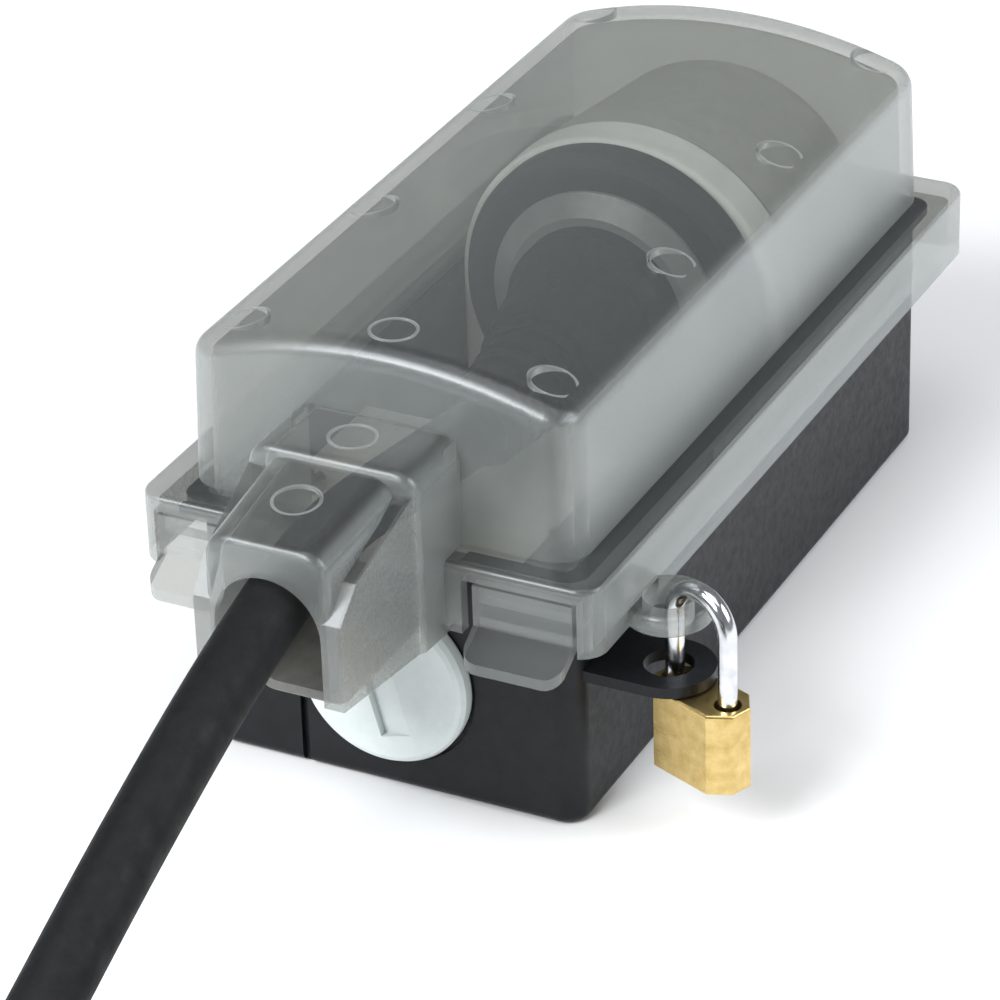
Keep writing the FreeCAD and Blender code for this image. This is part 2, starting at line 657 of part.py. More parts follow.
def cheek_form(inset):
    """The spout's side plates: upright, with a slanted top and a cut-off front corner."""
    front, low = s.spout_front + inset, 20
    corners = [(-64, low), (front, low), (front, 44 - inset), (front + 4, 48.3 - inset),
               (s.step_along, 53.6 - inset), (-64, 53.6 - inset)]
    prism = padded("YZ_Plane", corners, -20, 20)
    return common(prism, tapered((s.cheek_half - inset, low, 60), (s.cheek_half_front - inset,
                                 low, 60), (s.step_along + 2, s.spout_front)))


def hood_form(inset, corner):
    """The spout's narrow upper hood, falling and tapering to the front."""
    hood = tapered((s.hood_half - inset, 32, s.hood_high - inset),
                   (s.hood_half_front - inset, 32, s.hood_high_front - inset),
                   (s.step_along + 3, s.spout_front + inset))
    hood = rounded(hood, corner, lambda edge: edge.BoundBox.ZMin > 50
                   and edge.BoundBox.YLength > 10)
    front = (s.spout_front + inset).number
    return rounded(hood, corner / 3, lambda edge: edge.BoundBox.YMax < front + 0.1
                   and edge.BoundBox.ZMax > 45)


def root_form(inset, corner):
    """The spout's wider root next to the dome."""
    half = s.root_half - inset
    root = block((-half, half), (s.step_along + inset, s.dome_front + 2.4),
                 (20, s.root_high - inset))
    root = rounded(root, corner, lambda edge: edge.BoundBox.ZMin > 50
                   and edge.BoundBox.YLength > 5)
    front = (s.step_along + inset).number
    return rounded(root, 1.4, lambda edge: edge.BoundBox.YMax < front + 0.1
                   and edge.BoundBox.ZMax > 45)


def roof_mark(x, y, depth_below):
    """A shallow ring left by a moulding pin."""
    return cut(rod("z", s.mark_radius, (x, y), (depth_below, 80)),
               rod("z", s.mark_radius - 0.4, (x, y), (depth_below - 1, 81)))


def lid_shell():
    """The clear lid: skirt, shelf, dome, spout, padlock eye and hinge knuckles."""
    half, front, back = s.skirt_half, s.skirt_front, s.skirt_back
    low, shelf, wall = s.skirt_low, s.shelf_high, s.lid_wall
    skirt = block((-half, half), (front, back), (low, shelf))
    skirt = rounded(skirt, s.lid_corner.number, upright)
    skirt = rounded(skirt, 0.9, lambda edge: at_height(edge, shelf.number))
    eye = rod("z", s.lid_eye_outer, (s.eye_out, s.eye_along), (low, s.lid_eye_top))
    eye = rounded(eye, 0.9, lambda edge: abs(edge.Length) > 30)
    eye_root = block((half - 1.5, s.eye_out), (s.eye_along - 4.2, s.eye_along + 4.2),
                     (low + 0.4, s.lid_eye_top - 0.4))

    def knuckle():
        barrel = rod("x", s.knuckle_radius, (s.hinge_along, s.hinge_high),
                     (s.knuckle_half + 0.5, s.knuckle_far))
        web = block((s.knuckle_half + 0.5, s.knuckle_far), (back - 1, s.hinge_along),
                    (s.hinge_high - s.knuckle_radius, s.hinge_high + s.knuckle_radius))
        return fuse(barrel, web)
    spout = fuse(root_form(as_size(0), 3.6), hood_form(as_size(0), 3.9), cheek_form(as_size(0)))
    below = padded("YZ_Plane", [(-50, s.spout_low), (-66, s.spout_low),
                                (s.spout_front - 1, s.spout_low_front),
                                (s.spout_front - 1, 10), (-50, 10)], -20, 20)
    spout = cut(spout, below)
    outer = fuse(skirt, dome_form(as_size(0), shelf - 0.5, s.dome_corner.number,
                                  s.roof_round.number),
                 spout, eye, eye_root, mirrored_pair(knuckle))

    inside = block((wall - half, half - wall), (front + wall, back - wall),
                   (low - 1, shelf - s.shelf_thick))
    inside = rounded(inside, s.lid_corner.number - wall.number, upright)
    dome_room = dome_form(as_size(2), shelf - s.shelf_thick - 1, s.dome_corner.number - 2, 1.4)
    thin = s.spout_wall
    spout_room = [root_form(thin, 2.3), hood_form(thin, 2.5), cheek_form(thin)]
    throat = block((thin - s.root_half, s.root_half - thin), (-62, s.dome_front + 3),
                   (20, s.root_high - thin - 0.4))
    arch = rod("y", s.arch_radius, (0, s.arch_high), (s.spout_front - 1, s.spout_front + 3))
    arch_foot = block((-s.arch_radius, s.arch_radius), (s.spout_front - 1, s.spout_front + 3),
                      (20, s.arch_high))
    eye_bore = rod("z", s.eye_hole, (s.eye_out, s.eye_along), (low - 1, s.lid_eye_top + 1))
    pin_bore = rod("x", s.pin_radius + s.run_fit, (s.hinge_along, s.hinge_high),
                   (-s.knuckle_far - 1, s.knuckle_far + 1))
    knuckle_gap = block((-s.knuckle_half - 0.5, s.knuckle_half + 0.5), (back - wall - 1, back + 1),
                        (low - 1, shelf - s.shelf_thick))

    def tab_window():
        return block((s.slot_near, s.slot_far), (front - 1, front + wall + 0.2),
                     (low - 1, s.tab_top + 0.4))
    marks = [roof_mark(s.mark_out * i, y, 62.9) for i in (-1, 1)
             for y in (-53.3, -16.7, 19.9, 54.6)]
    marks += [roof_mark(0, -54, 66.1), roof_mark(0, -66.2, 56.5), roof_mark(-0.5, -80.5, 54.6)]
    node("lid_shell", cut(outer, inside, dome_room, throat, arch, arch_foot, eye_bore, pin_bore,
                          knuckle_gap, mirrored_pair(tab_window), *(spout_room + marks)))


def lid_gasket():
    """The flat seal under the lid's shelf, open where the spout is."""
    low, high = s.base_high + 0.1, s.shelf_high - s.shelf_thick
    outer = block((-29.6, 29.6), (-61.6, 61.2), (low, high))
    inner = block((-27, 27), (-59.1, 58.2), (low - 1, high + 1))
    gap = block((-12.5, 12.5), (-63, -55), (low - 1, high + 1))
    node("lid_gasket", cut(rounded(outer, 3, upright), rounded(inner, 1.5, upright), gap))


def latch_tabs():
    """The two finger tabs in the front of the skirt, each with a small inner nib."""
    front, wall, top = s.skirt_front, s.lid_wall, s.tab_top
    inner = front + wall
    corners = [(front, top), (front, 32.2), (s.lip_front, s.lip_low + 1.6),
               (s.lip_front, s.lip_low), (inner, 31.3), (inner, 32.6), (-60.9, 33.2),
               (-60.9, 33.9), (inner, 34.6), (inner, top)]
    for side, low, high in (("right", s.tab_near, s.tab_far), ("left", -s.tab_far, -s.tab_near)):
        tab = padded("YZ_Plane", corners, low, high)
        lip = s.lip_front.number
        tab = rounded(tab, 2.4, lambda edge, lip=lip: upright(edge)
                      and edge.BoundBox.YMax < lip + 0.1)
        node("latch_tab_" + side, tab)


def hinge_pin():
    """The steel pin, pressed into the base's knuckle."""
    pin = rod("x", s.pin_radius, (s.hinge_along, s.hinge_high),
              (-s.knuckle_far - 0.4, s.knuckle_far + 0.4))
    node("hinge_pin", rounded(pin, 0.4, lambda edge: edge.BoundBox.XLength < 1))


# ---- padlock ----------------------------------------------------------------

def lay_on_lock(item):
    """Turn a piece drawn about the shackle's inner leg to where the padlock hangs."""
    item.Placement = Placement(Vector(), Rotation(Vector(0, 0, 1), s.lock_turn.number))
    bind(item, "Placement.Base.x", s.lock_out)
    bind(item, "Placement.Base.y", s.lock_along)
    return item


def padlock():
    """The brass body, the steel shackle through both eyes, and the key cylinder."""
    margin = (s.lock_wide - s.leg_space) / 2
    near, far, deep = -margin, s.leg_space + margin, s.lock_thick / 2
    bevel = 2.6
    corners = [(near, -1.6), (near + bevel, -deep), (far - bevel, -deep), (far, -1.6),
               (far, 1.6), (far - bevel, deep), (near + bevel, deep), (near, 1.6)]
    body = padded("XY_Plane", corners, s.lock_low, s.lock_high)
    body = rounded(body, 0.4, lambda edge: not upright(edge))
    leg_ways = [rod("z", s.leg_hole, (x, 0), (s.lock_high - 4, s.lock_high + 1))
                for x in (0, s.leg_space)]
    middle = (s.leg_space / 2, 0)
    key_way = rod("z", s.key_hole, middle, (s.lock_low - 1, s.key_top + 0.3))
    node("padlock_body", lay_on_lock(cut(body, key_way, *leg_ways)))

    barrel = rod("z", s.key_radius, middle, (s.lock_low + 0.1, s.key_top))
    slot = block((s.leg_space / 2 - 0.5, s.leg_space / 2 + 0.5), (-2.1, 2.1),
                 (s.lock_low - 1, s.lock_low + 3))
    node("key_cylinder", lay_on_lock(cut(barrel, slot)))

    legs = [rod("z", s.leg_radius, (x, 0), (s.leg_low, s.leg_high)) for x in (0, s.leg_space)]
    bow = doc.addObject("Part::Torus", "Bow")
    bind(bow, "Radius1", s.leg_space / 2)
    bind(bow, "Radius2", s.leg_radius)
    bow.Angle3 = 180
    bow.Placement = Placement(Vector(), Rotation(Vector(1, 0, 0), 90))
    bind(bow, "Placement.Base.x", s.leg_space / 2)
    bind(bow, "Placement.Base.z", s.leg_high)
    node("shackle", lay_on_lock(fuse(bow, *legs)))


# ---- cord -------------------------------------------------------------------

# Route of the free cord from the plug's boot to the coil: out through the spout's arch,
# down in one long sag and along the floor (millimetres).
CORD_ROUTE = (
    (0, -32, 40.2), (0, -56, 44.2), (0, -76, 46.9), (0, -100, 41.0), (0, -128, 29.9),
    (0, -152, 18.8), (0, -172, 9.8), (0, -190, 4.8), (1, -209.5, 4.5),
)
# Route from the coil's top turn, in a rising loop, to the trailing socket that lies on it.
TAIL_ROUTE = (
    (51, -164, 21.3), (28, -164, 22.6), (1, -164, 28.0), (-22, -180.5, 33.2),
    (-31, -207.5, 38.6), (-22, -234.5, 43.6), (1, -251, 47.2), (27, -251, 48.3),
)
ARC_SHARE = 0.45


def corner_arc(before, corner, after):
    """Start, middle and end of the tangent arc at a corner of a route, and its radius."""
    back, ahead = before - corner, after - corner
    shorter = min(back.Length, ahead.Length)
    back.normalize()
    ahead.normalize()
    reach = ARC_SHARE * shorter
    half_turn = (math.pi - back.getAngle(ahead)) / 2
    radius = reach / math.tan(half_turn)
    inward = (back + ahead).normalize()
    to_centre = radius / math.cos(half_turn)
    middle = corner + inward * (to_centre - radius)
    return corner + back * reach, middle, corner + ahead * reach, radius


def cord_tube(name, route):
    """A round tube along straight runs joined by tangent arcs."""
    points = [Vector(*point) for point in route]
    edges, radii, start = [], [], points[0]
    for before, corner, after in zip(points, points[1:], points[2:]):
        first, middle, last, radius = corner_arc(before, corner, after)
        edges += [Part.LineSegment(start, first).toShape(),
                  Part.Arc(first, middle, last).toShape()]
        radii.append(radius)
        start = last
    edges.append(Part.LineSegment(start, points[-1]).toShape())
    path = Part.Wire(edges)
    half = s.cord_diameter.number / 2
    section = Part.Wire([Part.Circle(points[0], points[1] - points[0], half).toShape()])
    tube = path.makePipeShell([section], True, True)
    expected = math.pi * half ** 2 * path.Length
    print("%s: length %.0f mm, radii %s mm, volume %.4f of section times length" % (
        name, path.Length, " ".join("%.0f" % radius for radius in radii),
        tube.Volume / expected))
    cord = doc.addObject("Part::Feature", "Cord")
    cord.Shape = tube
    node(name, cord)


def cord_and_coil():
    """The free cord, its put-away coil with a tie, and the trailing socket at its end."""
    cord_tube("cord_run", CORD_ROUTE)
    cord_tube("cord_tail", TAIL_ROUTE)
    middle, across = (s.coil_out, s.coil_along), s.cord_diameter
    outer, inner, high = s.coil_middle + across, s.coil_middle - across, across * 2
    turns = cut(rod("z", outer, middle, (0, high)), rod("z", inner, middle, (-1, high + 1)))
    node("cord_coil", fuse(turns, ring("z", s.coil_middle, across / 2, middle, s.top_turn)))
    strap = cut(rod("z", outer + 1.2, middle, (0, high + 1.2)),
                rod("z", inner - 1.2, middle, (-1, high + 3)))
    strap_room = cut(rod("z", outer + 0.02, middle, (-1, high + 0.02)),
                     rod("z", inner - 0.02, middle, (-2, high + 3)))
    hump = ring("z", s.coil_middle, across / 2 + 1.2, middle, s.top_turn)
    hump_room = ring("z", s.coil_middle, across / 2 + 0.02, middle, s.top_turn)
    where = block((s.coil_out, s.coil_out + outer + 3), (s.coil_along - 5, s.coil_along + 5),
                  (-1, s.top_turn + across))
    node("coil_tie", common(cut(fuse(strap, hump), strap_room, hump_room), where))

    centre, start = (s.coupling_start, s.coupling_high), TAIL_ROUTE[-1][1]
    radius, mouth = s.coupling_radius, 78
    boot = turned([(along, wide) for along, wide in ribbed(as_size(20), as_size(0), 7.8, 5.7)],
                  centre, start, -90)
    node("coupling_boot", boot)
    body = turned([(20, 0), (20, 9), (30, 10.6), (35, 15), (38, radius - 2), (42, radius - 0.5),
                   (mouth - 3, radius), (mouth, radius - 1), (mouth, s.well_radius + 0.2),
                   (mouth - 18, s.well_radius + 0.2), (mouth - 18, s.block_radius + 0.1),
                   (42, s.block_radius + 0.1), (42, 0)], centre, start, -90)
    node("coupling_body", body)
    insert = turned([(42.2, 0), (42.2, s.block_radius), (mouth - 18.2, s.block_radius),
                     (mouth - 18.2, 0)], centre, start, -90)
    ways = [rod("x", s.plug_pin + 0.3, (start + s.pin_space * i, s.coupling_high),
                (s.coupling_start + 46, s.coupling_start + mouth)) for i in (-1, 1)]
    node("coupling_insert", cut(insert, *ways))


def export_nodes():
    """Check every object, then write one STEP file for each sub-part."""
    doc.recompute()
    for item in doc.Objects:
        if "Invalid" in item.State or "Error" in item.State:
            raise RuntimeError("%s (%s) failed: %s" % (item.Name, item.Label, item.State))
    for name, item in nodes:
        if item.Shape.isNull() or not item.Shape.isValid() or not item.Shape.Solids:
            raise RuntimeError(name + " has no valid shape")
    os.makedirs("parts", exist_ok=True)
    for name, item in nodes:
        item.Shape.exportStep("parts/%s.step" % name)
    print("%d sub-parts written" % len(nodes))


base_housing()
inner_tray()
cord_trough()
supply_grommet()
surge_board()
terminal_block()
cartridge()
socket()
plug()
lid_shell()
lid_gasket()
latch_tabs()
hinge_pin()
padlock()
cord_and_coil()
export_nodes()
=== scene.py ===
"""Looks for the lockable caravan surge protector box. Metres, in the CAD model's frame."""
import json
import math

import bmesh
import bpy
from mathutils import Matrix, Vector


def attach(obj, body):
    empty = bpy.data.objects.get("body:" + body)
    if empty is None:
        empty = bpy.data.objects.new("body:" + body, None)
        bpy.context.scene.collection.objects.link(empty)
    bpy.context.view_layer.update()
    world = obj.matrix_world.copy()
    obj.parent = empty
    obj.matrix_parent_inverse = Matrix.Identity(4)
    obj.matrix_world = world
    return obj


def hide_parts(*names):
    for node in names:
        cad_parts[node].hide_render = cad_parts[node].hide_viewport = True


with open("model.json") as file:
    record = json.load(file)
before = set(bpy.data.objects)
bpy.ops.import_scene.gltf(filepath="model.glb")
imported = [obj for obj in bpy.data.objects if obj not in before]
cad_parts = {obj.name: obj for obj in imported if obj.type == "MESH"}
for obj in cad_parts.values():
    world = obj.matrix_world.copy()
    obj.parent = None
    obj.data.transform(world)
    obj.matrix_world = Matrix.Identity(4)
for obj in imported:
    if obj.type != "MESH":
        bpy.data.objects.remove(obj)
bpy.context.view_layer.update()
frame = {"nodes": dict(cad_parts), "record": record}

MM = 0.001

# Camera: a long lens from the front right, above the spout
CAMERA_AZIMUTH = math.radians(27.16)
CAMERA_ELEVATION = math.radians(29.57)
CAMERA_ROLL = math.radians(-1.88)
CAMERA_PLACE = Vector((248.6, -510.1, 335.1)) * MM
CAMERA_LENS = 163.26

# The rings that moulding pins left on the lid: across, along and up to their floor, in mm.
# A ring is drawn on the outer skin only, so it starts a little below its floor.
# Each ring is a real mark drawn as a band of denser frosted plastic, and partly a painted
# highlight standing for the bright refraction outline of the mark's edge.
MARK_RADIUS = 3.15
MARK_LINE = 0.45
MARK_FROST_AND_HIGHLIGHT = 0.5
MARK_DEPTH = 0.65
PIN_MARKS = [(side * 22.4, along, 62.9)
             for side in (-1, 1) for along in (-53.3, -16.7, 19.9, 54.6)]
PIN_MARKS += [(0, -54, 66.1), (0, -66.2, 56.5), (-0.5, -80.5, 54.6)]

# The free cord, from the plug's boot out through the spout and down to the floor
CORD_DIAMETER = 9 * MM
CORD_ROUTE = (
    (0, -32, 40.2), (0, -56, 44.2), (0, -76, 46.9), (0, -100, 41.0), (0, -128, 29.9),
    (0, -152, 18.8), (0, -172, 9.8), (0, -190, 4.8), (1, -209.5, 4.5),
)
# From the coil's top turn, in a rising loop, to the trailing socket that lies on it
TAIL_ROUTE = (
    (51, -164, 21.3), (28, -164, 22.6), (1, -164, 28.0), (-22, -180.5, 33.2),
    (-31, -207.5, 38.6), (-22, -234.5, 43.6), (1, -251, 47.2), (27, -251, 48.3),
)
COIL_CENTRE = (51, -209.5)
# Radius and height at which each turn starts; it moves to the next one in one quarter
COIL_STARTS = ((50, 4.5), (41, 4.5), (41, 13.5), (50, 13.5), (45.5, 21.3))
COIL_TURNS = 3.75
COIL_POINTS_PER_TURN = 16

# The strap around the coil, in mm: half its loop's width and height, and the coil's upper rim
STRAP_HALF_ACROSS = 10.1
STRAP_HALF_HIGH = 9.6
STRAP_LAP = 0.9
STRAP_LOWEST = 0.6
STRAP_ROWS = 96
STRAP_LAP_ROWS = 10
COIL_RIM = 13.6
FLOOR_DROP = 0.0002


# ---- materials --------------------------------------------------------------

def new_material(name, colour, roughness, metallic=0.0, **sockets):
    """A Principled material with its flat values on the shader's own sockets."""
    material = bpy.data.materials.new(name)
    material.use_nodes = True
    shader = material.node_tree.nodes["Principled BSDF"]
    shader.inputs["Base Color"].default_value = (*colour, 1)
    shader.inputs["Roughness"].default_value = roughness
    shader.inputs["Metallic"].default_value = metallic
    for socket, value in sockets.items():
        shader.inputs[socket.replace("_", " ")].default_value = value
    return material


def add_node(material, kind, **settings):
    """A shader node with its inputs set by name."""
    made = material.node_tree.nodes.new(kind)
    for socket, value in settings.items():
        made.inputs[socket.replace("_", " ")].default_value = value
    return made


def link(material, start, end):
    """Join two sockets."""
    material.node_tree.links.new(start, end)


def place_noise(material, scale, stretch=(1, 1, 1), detail=3.0, rough=0.6):
    """Noise in object space, stretched along axes by a Mapping node."""
    coords = add_node(material, "ShaderNodeTexCoord")
    mapping = add_node(material, "ShaderNodeMapping", Scale=stretch)
    noise = add_node(material, "ShaderNodeTexNoise", Scale=scale, Detail=detail, Roughness=rough)
    link(material, coords.outputs["Object"], mapping.inputs["Vector"])
    link(material, mapping.outputs["Vector"], noise.inputs["Vector"])
    return noise.outputs["Fac"]


def spread(material, value, low, high, floor=0.3, ceiling=0.7):
    """Map noise from floor..ceiling onto low..high."""
    mapped = add_node(material, "ShaderNodeMapRange", From_Min=floor, From_Max=ceiling,
                      To_Min=low, To_Max=high)
    link(material, value, mapped.inputs["Value"])
    return mapped.outputs["Result"]


def tint(material, value, dark, light):
    """Colour that wanders between two tones with a noise value."""
    ramp = material.node_tree.nodes.new("ShaderNodeValToRGB")
    ramp.color_ramp.elements[0].position = 0.3
    ramp.color_ramp.elements[0].color = (*dark, 1)
    ramp.color_ramp.elements[1].position = 0.7
    ramp.color_ramp.elements[1].color = (*light, 1)
    link(material, value, ramp.inputs["Fac"])
    link(material, ramp.outputs["Color"],
         material.node_tree.nodes["Principled BSDF"].inputs["Base Color"])


def relief(material, height, strength, distance):
    """Bump from a height value."""
    bump = add_node(material, "ShaderNodeBump", Strength=strength, Distance=distance)
    link(material, height, bump.inputs["Height"])
    link(material, bump.outputs["Normal"],
         material.node_tree.nodes["Principled BSDF"].inputs["Normal"])


def vary_roughness(material, value, low, high):
    """Roughness that wanders with a noise value."""
    link(material, spread(material, value, low, high),
         material.node_tree.nodes["Principled BSDF"].inputs["Roughness"])


def moulded_plastic(name, dark, light, roughness, grain=2600.0, depth=0.00006, gloss=0.5):
    """Spark-eroded plastic: a fine even grain with slow changes of tone."""
    material = new_material(name, light, roughness, Specular_IOR_Level=gloss)
    tint(material, place_noise(material, 260.0, detail=6.0, rough=0.7), dark, light)
    relief(material, place_noise(material, grain, detail=2.0), 0.35, depth)
    vary_roughness(material, place_noise(material, 700.0), roughness - 0.06, roughness + 0.08)
    return material


def rubber(name, dark, light):
    """Matte rubber with a dusty, slightly wavy skin."""
    material = new_material(name, light, 0.62, Specular_IOR_Level=0.22)
    tint(material, place_noise(material, 420.0, detail=8.0, rough=0.75), dark, light)
    relief(material, place_noise(material, 1500.0, detail=5.0), 0.4, 0.0001)
    vary_roughness(material, place_noise(material, 300.0), 0.5, 0.72)
    return material


def brushed_metal(name, dark, light, roughness, stretch):
    """Metal with fine brushing along one direction and faint stains."""
    material = new_material(name, light, roughness, metallic=1.0)
    tint(material, place_noise(material, 500.0, detail=6.0), dark, light)
    relief(material, place_noise(material, 900.0, stretch=stretch, detail=4.0), 0.25, 0.00003)
    vary_roughness(material, place_noise(material, 600.0, stretch=stretch),
                   roughness - 0.07, roughness + 0.1)
    return material


def math_node(material, operation, *values):
    """A Math node; each value is a number, or the socket that feeds it."""
    node = material.node_tree.nodes.new("ShaderNodeMath")
    node.operation = operation
    for socket, value in zip(node.inputs, values):
        if isinstance(value, (int, float)):
            socket.default_value = value
        else:
            link(material, value, socket)
    return node.outputs["Value"]


def add_pin_mark_highlight_rings(material, coords, density):
    """Add the rings of the moulding-pin marks to the density as denser frosted plastic; the ring
    also paints the bright refraction outline of each mark's edge, a painted highlight.
    """
    flat = add_node(material, "ShaderNodeMapping", Scale=(1, 1, 0))
    height = add_node(material, "ShaderNodeSeparateXYZ")
    link(material, coords.outputs["Object"], flat.inputs["Vector"])
    link(material, coords.outputs["Object"], height.inputs["Vector"])
    for x, y, floor in PIN_MARKS:
        reach = material.node_tree.nodes.new("ShaderNodeVectorMath")
        reach.operation = "DISTANCE"
        reach.inputs[1].default_value = (x * MM, y * MM, 0)
        link(material, flat.outputs["Vector"], reach.inputs[0])
        ring = math_node(material, "COMPARE", reach.outputs["Value"], MARK_RADIUS * MM,
                         MARK_LINE / 2 * MM)
        outside = math_node(material, "GREATER_THAN", height.outputs["Z"],
                            (floor - MARK_DEPTH) * MM)
        shown = math_node(material, "MULTIPLY", ring, outside)
        density = math_node(material, "MULTIPLY_ADD", shown, MARK_FROST_AND_HIGHLIGHT, density)
        density.node.use_clamp = True
    return density


def clear_plastic():
    """Smoky polycarbonate: polished roof, frosted walls, denser towards its edges."""
    material = new_material("clear_polycarbonate", (0.39, 0.42, 0.41), 0.16, IOR=1.5,
                            Transmission_Weight=0.35)
    swirl = place_noise(material, 60.0, stretch=(1, 0.6, 1), detail=6.0, rough=0.65)
    vary_roughness(material, swirl, 0.12, 0.26)
    shader = material.node_tree.nodes["Principled BSDF"]
    through = add_node(material, "ShaderNodeBsdfTransparent", Color=(0.79, 0.79, 0.77, 1))
    edge = add_node(material, "ShaderNodeLayerWeight", Blend=0.12)
    density = add_node(material, "ShaderNodeMapRange", From_Min=0.07, To_Max=0.95)
    link(material, edge.outputs["Facing"], density.inputs["Value"])

    coords = add_node(material, "ShaderNodeTexCoord")
    parts = add_node(material, "ShaderNodeSeparateXYZ")
    link(material, coords.outputs["Normal"], parts.inputs["Vector"])
    upright = math_node(material, "ABSOLUTE", parts.outputs["Z"])
    frost = add_node(material, "ShaderNodeMapRange", From_Min=0.35, From_Max=0.95,
                     To_Min=0.29, To_Max=0.0)
    link(material, upright, frost.inputs["Value"])
    grain = spread(material, place_noise(material, 1800.0, detail=2.0), 0.0, 0.04)
    total = math_node(material, "ADD", density.outputs["Result"], frost.outputs["Result"])
    speckled = math_node(material, "ADD", total, grain)

    mix = add_node(material, "ShaderNodeMixShader")
    # The pin-mark rings, partly a painted highlight, join the density here.
    link(material, add_pin_mark_highlight_rings(material, coords, speckled), mix.inputs["Fac"])
    link(material, through.outputs["BSDF"], mix.inputs[1])
    link(material, shader.outputs["BSDF"], mix.inputs[2])
    sheen = add_node(material, "ShaderNodeBsdfGlossy", Color=(0.95, 0.98, 1.0, 1),
                     Roughness=0.34)
    shine = add_node(material, "ShaderNodeMapRange", To_Min=0.03, To_Max=0.4)
    gloss = add_node(material, "ShaderNodeMixShader")
    link(material, edge.outputs["Facing"], shine.inputs["Value"])
    link(material, shine.outputs["Result"], gloss.inputs["Fac"])
    link(material, mix.outputs["Shader"], gloss.inputs[1])
    link(material, sheen.outputs["BSDF"], gloss.inputs[2])
    link(material, gloss.outputs["Shader"],
         material.node_tree.nodes["Material Output"].inputs["Surface"])
    return material


def make_materials():
    """One material for each slot of the record."""
    return {
        "base_black": moulded_plastic("base_black", (0.0045, 0.0050, 0.0060),
                                      (0.0085, 0.0095, 0.0115), 0.4, gloss=0.25),
        "clear_lid": clear_plastic(),
        "cap_white": moulded_plastic("cap_white", (0.62, 0.68, 0.67), (0.70, 0.75, 0.74), 0.4,
                                     1800.0, 0.00003),
        "trough_grey": moulded_plastic("trough_grey", (0.13, 0.125, 0.115),
                                       (0.19, 0.185, 0.17), 0.45),
        "light_grey": moulded_plastic("light_grey", (0.78, 0.81, 0.80), (0.86, 0.89, 0.88), 0.42),
        "dark_grey": moulded_plastic("dark_grey", (0.36, 0.365, 0.35), (0.44, 0.445, 0.43), 0.45),
        "seal_rubber": rubber("seal_rubber", (0.008, 0.008, 0.008), (0.014, 0.014, 0.015)),
        "plug_rubber": rubber("plug_rubber", (0.004, 0.004, 0.0045), (0.009, 0.009, 0.0095)),
        "cord_rubber": rubber("cord_rubber", (0.0035, 0.0035, 0.0038), (0.0075, 0.0078, 0.0082)),
        "ring_grey": moulded_plastic("ring_grey", (0.16, 0.17, 0.18), (0.22, 0.23, 0.24), 0.35),
        "lock_brass": brushed_metal("lock_brass", (0.52, 0.37, 0.13), (0.72, 0.54, 0.24), 0.3,
                                    (0.15, 0.15, 2.5)),
        "lock_steel": brushed_metal("lock_steel", (0.55, 0.56, 0.58), (0.80, 0.81, 0.83), 0.16,
                                    (1, 1, 0.3)),
        "contact_brass": brushed_metal("contact_brass", (0.62, 0.5, 0.25), (0.8, 0.66, 0.38),
                                       0.25, (1, 0.2, 1)),
        "screw_steel": brushed_metal("screw_steel", (0.42, 0.42, 0.42), (0.62, 0.62, 0.62), 0.3,
                                     (1, 1, 1)),
        "board_green": moulded_plastic("board_green", (0.01, 0.09, 0.035), (0.02, 0.15, 0.06),
                                       0.35),
        "varistor_blue": moulded_plastic("varistor_blue", (0.02, 0.06, 0.24),
                                         (0.03, 0.09, 0.34), 0.3),
        "tube_ceramic": moulded_plastic("tube_ceramic", (0.7, 0.7, 0.66), (0.8, 0.8, 0.76), 0.3),
        "fuse_sand": moulded_plastic("fuse_sand", (0.5, 0.45, 0.3), (0.62, 0.56, 0.4), 0.35),
        "capacitor_yellow": moulded_plastic("capacitor_yellow", (0.55, 0.38, 0.03),
                                            (0.68, 0.5, 0.06), 0.35),
        "tie_black": rubber("tie_black", (0.006, 0.006, 0.007), (0.014, 0.014, 0.015)),
    }


def dress_nodes(materials):
    """Give each CAD node the material of its slot."""
    for part in frame["record"]["subparts"]:
        item = frame["nodes"][part["node"]]
        material = materials[part["material_slot"]]
        item.data.materials.clear()
        item.data.materials.append(material)


# ---- stage ------------------------------------------------------------------

def make_camera():
    """The camera, turned about its own axis by the small roll of the view."""
    data = bpy.data.cameras.new("camera")
    data.lens = CAMERA_LENS
    data.sensor_width = 36
    data.clip_start = 0.01
    data.clip_end = 50
    camera = bpy.data.objects.new("camera", data)
    bpy.context.collection.objects.link(camera)
    flat = math.cos(CAMERA_ELEVATION)
    back = Vector((math.sin(CAMERA_AZIMUTH) * flat, -math.cos(CAMERA_AZIMUTH) * flat,
                   math.sin(CAMERA_ELEVATION)))
    level = Vector((0, 0, 1)).cross(back).normalized()
    upward = back.cross(level)
    side = level * math.cos(CAMERA_ROLL) + upward * math.sin(CAMERA_ROLL)
    top = back.cross(side)
    turn = Matrix((side, top, back)).transposed().to_4x4()
    camera.matrix_world = Matrix.Translation(CAMERA_PLACE) @ turn
    bpy.context.scene.camera = camera


def area_light(name, place, target, width, height, power, colour=(1, 1, 1)):
    """A soft box that faces its target."""
    data = bpy.data.lights.new(name, "AREA")
    data.shape = "RECTANGLE"
    data.size = width
    data.size_y = height
    data.energy = power
    data.color = colour
    lamp = bpy.data.objects.new(name, data)
    bpy.context.collection.objects.link(lamp)
    lamp.location = place
    aim = Vector(target) - Vector(place)
    lamp.rotation_euler = aim.to_track_quat("-Z", "Y").to_euler()


